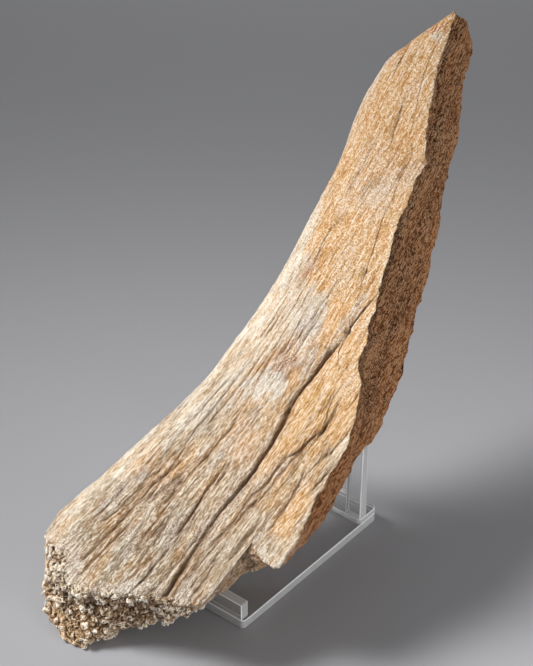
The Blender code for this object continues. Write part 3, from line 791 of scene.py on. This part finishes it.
class NodeSet:
    # the nodes of one material, added and joined by short calls

    def __init__(self, name):
        self.material = bpy.data.materials.new(name)
        self.material.use_nodes = True
        self.tree = self.material.node_tree
        self.shader = self.tree.nodes["Principled BSDF"]

    def add(self, kind, settings=None, **links):
        node = self.tree.nodes.new(kind)
        for key, value in (settings or {}).items():
            setattr(node, key, value)
        for key, value in links.items():
            self.feed(node.inputs[key.replace("_", " ")], value)
        return node

    def feed(self, socket, value):
        if isinstance(value, bpy.types.NodeSocket):
            self.tree.links.new(value, socket)
        else:
            socket.default_value = value

    def plain(self, **values):
        # values that are the same all over the surface, on the shader's own sockets
        for key, value in values.items():
            self.shader.inputs[key.replace("_", " ")].default_value = value

    def attribute(self, name, output="Fac"):
        return self.add("ShaderNodeAttribute", {"attribute_name": name}).outputs[output]

    def stretched(self, vector, sizes):
        # sizes of the pattern in millimetres
        node = self.add("ShaderNodeMapping")
        self.feed(node.inputs["Vector"], vector)
        node.inputs["Scale"].default_value = tuple(1000 / size for size in sizes)
        return node.outputs[0]

    def noise(self, vector, detail=3.0, roughness=0.55):
        node = self.add("ShaderNodeTexNoise", Scale=1.0, Detail=detail, Roughness=roughness)
        self.feed(node.inputs["Vector"], vector)
        return node.outputs["Fac"]

    def math(self, operation, first, second=0.0):
        node = self.add("ShaderNodeMath", {"operation": operation})
        self.feed(node.inputs[0], first)
        self.feed(node.inputs[1], second)
        return node.outputs[0]

    def blend(self, *parts):
        # the sum of several values, each times its weight
        total = 0.0
        for value, weight in parts:
            total = self.math("ADD", total, self.math("MULTIPLY", value, weight))
        return total

    def ramp(self, value, stops):
        node = self.add("ShaderNodeValToRGB")
        self.feed(node.inputs[0], value)
        band = node.color_ramp
        band.interpolation = "EASE"
        while len(band.elements) < len(stops):
            band.elements.new(0.5)
        for element, (place, shade) in zip(band.elements, stops):
            element.position = place
            element.color = (shade, shade, shade, 1)
        return node.outputs[0]

    def share(self, value, stops, most):
        # a ramp that ends at most
        return self.math("MULTIPLY", self.ramp(value, stops), most)

    def mix(self, factor, first, second, blend="MIX"):
        node = self.add("ShaderNodeMix", {"data_type": "RGBA", "blend_type": blend})
        for index, value in ((0, factor), (6, first), (7, second)):
            self.feed(node.inputs[index], value)
        return node.outputs[2]

    def finish(self, colour, height, strength, distance):
        # colour and bump go to the shader
        bump = self.add("ShaderNodeBump", Strength=strength, Distance=distance)
        self.feed(bump.inputs["Height"], height)
        self.feed(self.shader.inputs["Base Color"], colour)
        self.feed(self.shader.inputs["Normal"], bump.outputs[0])


boneFinish = {
    "gritSize": (0.52, 0.62, 0.52),  # millimetres across, along and through
    "grainSize": (0.62, 1.3, 0.62),
    "fibreSize": (0.54, 2.8, 0.54),
    "streakSize": (0.75, 9.0, 0.75),
    "splinterSize": (0.60, 5.0, 0.60),
    "fanReach": 0.3,                 # the long fibres begin below this height
    # shares of the grit, of the grains, fibres or splinters, and of the streaks, and an offset
    "shaftWeave": (0.52, 0.52, 0.30, -0.17),
    "fanWeave": (0.34, 0.64, 0.44, -0.21),
    "breakWeave": (0.80, 1.25, 0.45, -0.75),
    "hollowDepth": 0.24,
    # painted shade: the colour in the furrows and lines
    "creaseShade": srgb(94, 70, 48),
    "furrowShadeShare": 0.75,
    "shadow": (0.58, 0.42, 0.23),    # times the tone of the bone
    "fanShadow": (0.50, 0.40, 0.29),
    "breakShadow": (0.26, 0.24, 0.18),
    "shadowShare": 0.9,
    # painted highlights on the high tips, on the outer face and on the broken side
    "tip": srgb(252, 244, 228),
    "breakHighlight": srgb(232, 198, 160),
    "highlightShare": 0.72,
    "fanHighlightLoss": 0.26,
    "chalk": srgb(236, 232, 224),
    "chalkShare": 0.45,
    # the broken side's darker brown, and painted shade on that side, which faces away from the light
    "breakTintAndShade": (0.70, 0.54, 0.38),
    "breakTintAndShadeShare": 0.6,
    "bump": 0.9,
    "bumpHeight": 0.0009,
    "specular": 0.35,
}


def boneMaterial():
    make, look = NodeSet("Fossil bone"), boneFinish
    tone = make.attribute("tone", "Color")
    grain = make.attribute("grain", "Vector")
    furrow, hollow = make.attribute("furrow"), make.attribute("hollow")
    broken, crusty = make.attribute("broken"), make.attribute("crusty")

    # short grains on the shaft, long fibres on the fan, splinters on the broken side
    along = make.add("ShaderNodeSeparateXYZ", Vector=grain).outputs["Y"]
    fan = make.ramp(make.math("MULTIPLY", along, 1 / look["fanReach"]), [(0.4, 1), (0.8, 0)])
    grit, grains, fibres, streaks, splinters = (
        make.noise(make.stretched(grain, look[name]), 2.5, 0.6)
        for name in ("gritSize", "grainSize", "fibreSize", "streakSize", "splinterSize"))
    onShaft, onFan, onBreak = (
        make.blend(*zip((grit, middle, last, 1.0), look[name]))
        for name, middle, last in (("shaftWeave", grains, streaks), ("fanWeave", fibres, streaks),
                                   ("breakWeave", splinters, grains)))
    weave = make.mix(broken, make.mix(fan, onShaft, onFan), onBreak)
    height = make.blend((weave, 1.0), (hollow, -look["hollowDepth"]), (0.5, look["hollowDepth"]))

    # painted shade: deeper colour in the low lines; painted highlight: cream on the high tips
    shadow = make.mix(fan, opaque(look["shadow"]), opaque(look["fanShadow"]))
    shadow = make.mix(broken, shadow, opaque(look["breakShadow"]))
    # painted shade: the tone darkened for the low lines
    creaseShade = make.mix(1.0, tone, shadow, "MULTIPLY")
    colour = make.mix(make.share(height, [(0.38, 1), (0.50, 0)], look["shadowShare"]), tone, creaseShade)
    tip = make.mix(broken, opaque(look["tip"]), opaque(look["breakHighlight"]))
    share = make.math("SUBTRACT", look["highlightShare"], make.math("MULTIPLY", fan, look["fanHighlightLoss"]))
    colour = make.mix(make.share(height, [(0.50, 0), (0.60, 1)], share), colour, tip)
    chalk = make.math("MULTIPLY", make.share(grit, [(0.48, 0), (0.60, 1)], crusty), look["chalkShare"])
    colour = make.mix(chalk, colour, opaque(look["chalk"]))
    # painted shade in the furrows and lines
    colour = make.mix(make.math("MULTIPLY", furrow, look["furrowShadeShare"]), colour, opaque(look["creaseShade"]))
    # the broken side's darker brown with painted shade, as it faces away from the light
    tint = make.mix(make.math("MULTIPLY", broken, look["breakTintAndShadeShare"]), (1, 1, 1, 1),
                    opaque(look["breakTintAndShade"]))
    make.finish(make.mix(1.0, colour, tint, "MULTIPLY"), height, look["bump"], look["bumpHeight"])
    make.feed(make.shader.inputs["Roughness"], make.ramp(weave, [(0.3, 0.95), (0.7, 0.62)]))
    make.plain(Specular_IOR_Level=look["specular"])
    return make.material


# the spongy inside of the bone, laid open at the heel

spongeForm = {
    "from": (-0.0605, -0.0065, -0.0300),
    "to": (0.0690, 0.0690, 0.0245),
    "coarse": 0.0014,                # spacing of the first, coarse measure of the form
    "finer": 4,                      # steps that each of those is split into
    "skin": 0.0046,                  # thickness of the whole layer
    "lumps": (0.0024, 0.0085),       # height and size
    "knobs": (0.0021, 0.0034),
    "curls": (0.0017, 0.00125),
    "curlWidth": 0.29,
    "calmer": (-0.034, -0.046, 0.6), # the relief is lower at the far left
    "inset": 0.0008,
    "cornerInset": (-0.022, 0.009, 1.4),   # middle, width and extra share
    "mostTriangles": 196000,
}


def finer(values, times):
    # a volume with each step split evenly, along every axis
    for axis in range(3):
        count = values.shape[axis]
        at = np.linspace(0, count - 1, (count - 1) * times + 1)
        low = np.minimum(at.astype(int), count - 2)
        part = (at - low).astype(np.float32)
        shape = [1, 1, 1]
        shape[axis] = len(part)
        part = part.reshape(shape)
        values = np.take(values, low, axis) * (1 - part) + np.take(values, low + 1, axis) * part
    return values


def spongeRelief(spots):
    # height of the lumps, knobs and curled walls, and how high up in them each spot is
    (lumpHigh, lumpSize), (knobHigh, knobSize) = spongeForm["lumps"], spongeForm["knobs"]
    curlHigh, curlSize = spongeForm["curls"]
    bend = 0.5 * curlSize * np.stack([lumps(spots, 1.7 * curlSize, seed) for seed in (33, 34, 35)], axis=1)
    curl = 1 - np.clip(np.abs(lumps(spots + bend, curlSize, 36)) / spongeForm["curlWidth"], 0, 1)
    knob = np.abs(lumps(spots + 2 * bend, knobSize, 32)) * 2
    rise = lumpHigh * lumps(spots, lumpSize, 31) + knobHigh * (knob - 0.45) + curlHigh * (curl - 0.45)
    start, full, calm = spongeForm["calmer"]
    rise *= 1 - calm * ease(start, full, spots[:, 0])
    middle, width, extra = spongeForm["cornerInset"]
    rise -= spongeForm["inset"] * (1 + extra * hump(middle, width, spots[:, 0])
                                   * ease(0.014, 0.002, spots[:, 1]))
    return rise, 0.5 * np.clip(knob, 0, 1) + 0.5 * curl


def makeSponge(skin):
    points, normals, sides = skin
    low, high = np.array(spongeForm["from"]), np.array(spongeForm["to"])
    coarse, depth = spongeForm["coarse"], spongeForm["skin"]
    axes = [np.arange(low[i], high[i], coarse) for i in range(3)]
    grid = np.stack(np.meshgrid(*axes, indexing="ij"), axis=-1)
    shape, grid = grid.shape[:3], grid.reshape(-1, 3)
    nearest = nearestOf(points, grid)
    inside = -((grid - points[nearest]) * normals[nearest]).sum(axis=1)
    inside, here = (finer(each.reshape(shape).astype(np.float32), spongeForm["finer"])
                    for each in (inside, endSpots(points, sides)[nearest]))
    step = coarse / spongeForm["finer"]
    print("spongy bone measured:", inside.shape)

    # below zero is outside the lattice; it is a layer under the skin, and thins out at its border
    near = (inside > -0.0032) & (inside < depth + 0.0004) & (here > 0.15)
    spots = np.argwhere(near) * step + low
    solid = np.minimum(inside[near] + spongeRelief(spots)[0], depth - inside[near])
    solid = np.minimum(solid, (here[near] - 0.2) * 0.012)
    world = toWorld(spots)
    solid[settled(world)[:, 2] > world[:, 2]] = -0.001      # clear of the floor and the lip
    field = np.full(inside.shape, 0.001, np.float32)
    field[near] = -solid
    volume = openvdb.FloatGrid()
    volume.copyFromArray(field)
    places, _, fours = volume.convertToPolygons(isovalue=0.0, adaptivity=0.0)
    faces = largestPart(len(places), fours[:, ::-1])
    used, faces = np.unique(faces, return_inverse=True)
    faces = faces.reshape(-1, 4)
    index = np.clip(np.round(places[used]).astype(int), 0, np.array(inside.shape) - 1)
    behind = inside[tuple(index.T)] / depth > 0.75          # the back of the layer can't be seen
    print("spongy bone cut:", len(faces), "faces")

    piece = meshObject("spongyHeel", settled(toWorld(places[used] * step + low)), faces)
    places = withFewerFaces(piece, len(faces), spongeForm["mostTriangles"], behind)
    ends = toBone(places)
    addColours(piece.data, "tone", spongeTone(ends))
    addValues(piece.data, "level", spongeRelief(ends)[1])
    addValues(piece.data, "place", ends)
    piece.data.shade_smooth()
    print("spongy heel:", triangleCount(piece.data), "triangles")
    return piece


spongeFinish = {
    "cream": srgb(226, 208, 180),
    "pale": srgb(248, 240, 224),     # at the far left
    "toe": srgb(200, 158, 108),
    "shadeUnderRim": srgb(146, 112, 76),     # painted shade in the hollow under the rim's overhang
    "right": srgb(158, 126, 92),
    "toneShare": 0.8,
    "speckleSize": (0.45, 0.45, 0.45),   # millimetres
    "speckle": 0.9,
    # painted shade deep in the pores
    "poreShade": srgb(78, 54, 32),
    "poreShadeShare": 0.92,
    # painted highlight on the high tips of the lattice
    "tip": srgb(250, 242, 226),
    "highlightShare": 0.9,
    "bump": 0.7,
    "bumpHeight": 0.0004,
    "roughness": 0.85,
}


def spongeTone(points):
    # cream under the rim, painted shade in the hollow below it, brown to the right, and tan at the toe
    u, w = points[:, 0] / mm, points[:, 2] / mm
    wander = 2.5 * lumps(points, 0.007, 41)
    tone = painted(spongeFinish["cream"], spongeFinish["pale"], ease(-32, -42, u + wander) * ease(2, 12, w))
    for name, share in (("toe", ease(9, 4, w + wander)),
                        ("shadeUnderRim", hump(9.5, 3.5, w + wander) * ease(-50, -34, u)),
                        ("right", ease(-8, 4, u + wander))):
        tone = painted(tone, spongeFinish[name], spongeFinish["toneShare"] * share)
    return tone


def largestPart(count, faces):
    # only the faces that hang together with the largest part
    label = np.arange(count)
    while True:
        least = label[faces].min(axis=1)
        fresh = label.copy()
        for corner in range(4):
            np.minimum.at(fresh, faces[:, corner], least)
        fresh = fresh[fresh]
        if (fresh == label).all():
            break
        label = fresh
    names, sizes = np.unique(label, return_counts=True)
    return faces[label[faces[:, 0]] == names[np.argmax(sizes)]]


def spongeMaterial():
    make, look = NodeSet("Spongy bone"), spongeFinish
    place, level = make.attribute("place", "Vector"), make.attribute("level")
    speckle = make.noise(make.stretched(place, look["speckleSize"]), 2.0, 0.6)
    height = make.blend((level, 1.0), (speckle, look["speckle"]), (0.5, -look["speckle"]))
    # painted shade in the low, deep parts of the lattice
    colour = make.mix(make.share(height, [(0.16, 1), (0.56, 0)], look["poreShadeShare"]),
                      make.attribute("tone", "Color"), opaque(look["poreShade"]))
    # painted highlight on the high tips
    colour = make.mix(make.share(height, [(0.54, 0), (0.82, 1)], look["highlightShare"]),
                      colour, opaque(look["tip"]))
    make.finish(colour, speckle, look["bump"], look["bumpHeight"])
    make.plain(Roughness=look["roughness"])
    return make.material


acrylicStand = {
    "thin": {                        # the direction in which each plate is thin
        "acrylic_base": (0, 0, 1),
        "acrylic_front_lip": (0, 1, 0),
        "acrylic_rear_bar": (0, 0, 1),
        "acrylic_post_left": (0, 1, 0),
        "acrylic_post_right": (0, 1, 0),
    },
    "tint": (0.985, 0.99, 0.995, 1),
    "ior": 1.49,
    "faceFrost": 0.12,
    "edgeFrost": 0.42,               # the sawn edges are a little milky, and their arrises more so
    "arrisFrost": 0.95,
    "edgeRoughness": 0.30,
    "smearSize": (17, 17, 17),       # millimetres
}


def acrylicMaterial(thin):
    make, look = NodeSet("Clear acrylic"), acrylicStand
    make.plain(Base_Color=look["tint"], IOR=look["ior"])
    coordinates = make.add("ShaderNodeTexCoord")
    toward = make.add("ShaderNodeVectorMath", {"operation": "DOT_PRODUCT"})
    make.feed(toward.inputs[0], coordinates.outputs["Normal"])
    toward.inputs[1].default_value = thin
    edge = make.ramp(make.math("ABSOLUTE", toward.outputs["Value"]),
                     [(0.08, look["edgeFrost"]), (0.25, look["arrisFrost"]),
                      (0.92, look["arrisFrost"]), (0.985, look["faceFrost"])])
    smear = make.noise(make.stretched(coordinates.outputs["Object"], look["smearSize"]), 3.0, 0.6)
    rough = make.blend((make.ramp(smear, [(0.35, 0.01), (0.75, 0.05)]), 1.0), (edge, look["edgeRoughness"]))
    make.feed(make.shader.inputs["Roughness"], rough)
    make.feed(make.shader.inputs["Transmission Weight"], make.math("SUBTRACT", 1.0, edge))
    return make.material


studio = {
    "floor": srgb(160, 160, 163),
    "floorPatches": 0.95,            # how much darker the faint patches on it are
    "floorReach": 12.0,
    "below": 0.0004,                 # the floor lies this far under the stand
    "cameraFromCorner": (0.5703925, -0.6764982, 0.8368983),   # from the base's front right corner
    "turn": 39.4,
    "tilt": 36.5,
    "lens": 132.43,
    # place and aim as seen from the camera (right, away, up), size, watts, and spread in degrees
    "lights": {
        "keyLight": ((-0.95, 0.10, 1.05), (0.0, -0.14, 0.07), 0.6, 1.78, 32),
        "fillLight": ((1.15, -1.15, 0.40), (0.0, -0.14, 0.07), 1.0, 3.2, 120),
        "lowLight": ((0.95, -0.95, 0.28), (0.05, -0.08, 0.01), 0.4, 0.22, 40),   # for the sawn edges
        "backLight": ((0.1, 1.10, 1.2), (0.0, 0.95, 0.0), 0.8, 0.9, 60),
    },
    "world": (0.98, 0.985, 1, 1),
    "worldStrength": 0.29,
}


def fromCamera(right, away, up):
    # a place given as seen from the camera: to its right, away from it, and up
    turn = math.radians(studio["turn"])
    across, back = Vector((math.cos(turn), math.sin(turn), 0)), Vector((-math.sin(turn), math.cos(turn), 0))
    return right * across + away * back + Vector((0, 0, up))


def makeFloor():
    reach = studio["floorReach"]
    corners = np.array([(-1, -1, 0), (1, -1, 0), (1, 1, 0), (-1, 1, 0)]) * reach - (0, 0, studio["below"])
    floor = meshObject("studioFloor", corners, np.array([(0, 1, 2, 3)]))
    make = NodeSet("Pale floor")
    faint = make.noise(make.stretched(make.add("ShaderNodeTexCoord").outputs["Object"], (300, 300, 300)), 2.0)
    make.feed(make.shader.inputs["Base Color"],
              make.mix(faint, opaque(studio["floor"]), opaque(studio["floor"] * studio["floorPatches"])))
    make.plain(Roughness=0.6)
    floor.data.materials.append(make.material)


def addLight(name, place, aim, size, power, spread):
    lamp = bpy.data.lights.new(name, "AREA")
    lamp.size = size
    lamp.energy = power
    lamp.spread = math.radians(spread)
    light = bpy.data.objects.new(name, lamp)
    light.location = fromCamera(*place)
    light.rotation_euler = (fromCamera(*aim) - light.location).to_track_quat("-Z", "Y").to_euler()
    bpy.context.scene.collection.objects.link(light)


def makeLights():
    for name, values in studio["lights"].items():
        addLight(name, *values)
    world = bpy.data.worlds.new("Studio")
    bpy.context.scene.world = world
    world.use_nodes = True
    sky = world.node_tree.nodes["Background"]
    sky.inputs["Color"].default_value = studio["world"]
    sky.inputs["Strength"].default_value = studio["worldStrength"]


def makeCamera():
    turn, tilt = math.radians(studio["turn"]), math.radians(studio["tilt"])
    data = bpy.data.cameras.new("camera")
    data.sensor_fit = "VERTICAL"
    data.sensor_height = 36
    data.lens = studio["lens"]
    data.clip_end = 20
    camera = bpy.data.objects.new("camera", data)
    camera.location = Vector((baseHigh.x, baseLow.y, 0)) + Vector(studio["cameraFromCorner"])
    camera.rotation_euler = (math.pi / 2 - tilt, 0, turn)
    bpy.context.scene.collection.objects.link(camera)
    bpy.context.scene.camera = camera


def dress(piece, material):
    piece.data.materials.clear()
    piece.data.materials.append(material)
    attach(piece, "root")


boneSurface, skin = makeBone()
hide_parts("bone")
dress(boneSurface, boneMaterial())
dress(makeSponge(skin), spongeMaterial())

for node, thin in acrylicStand["thin"].items():
    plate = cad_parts[node]
    plate.data.materials.clear()
    plate.data.materials.append(acrylicMaterial(thin))
print("acrylic stand dressed")

makeFloor()
makeLights()
makeCamera()
bpy.context.scene.view_settings.view_transform = "Standard"
print("studio ready")
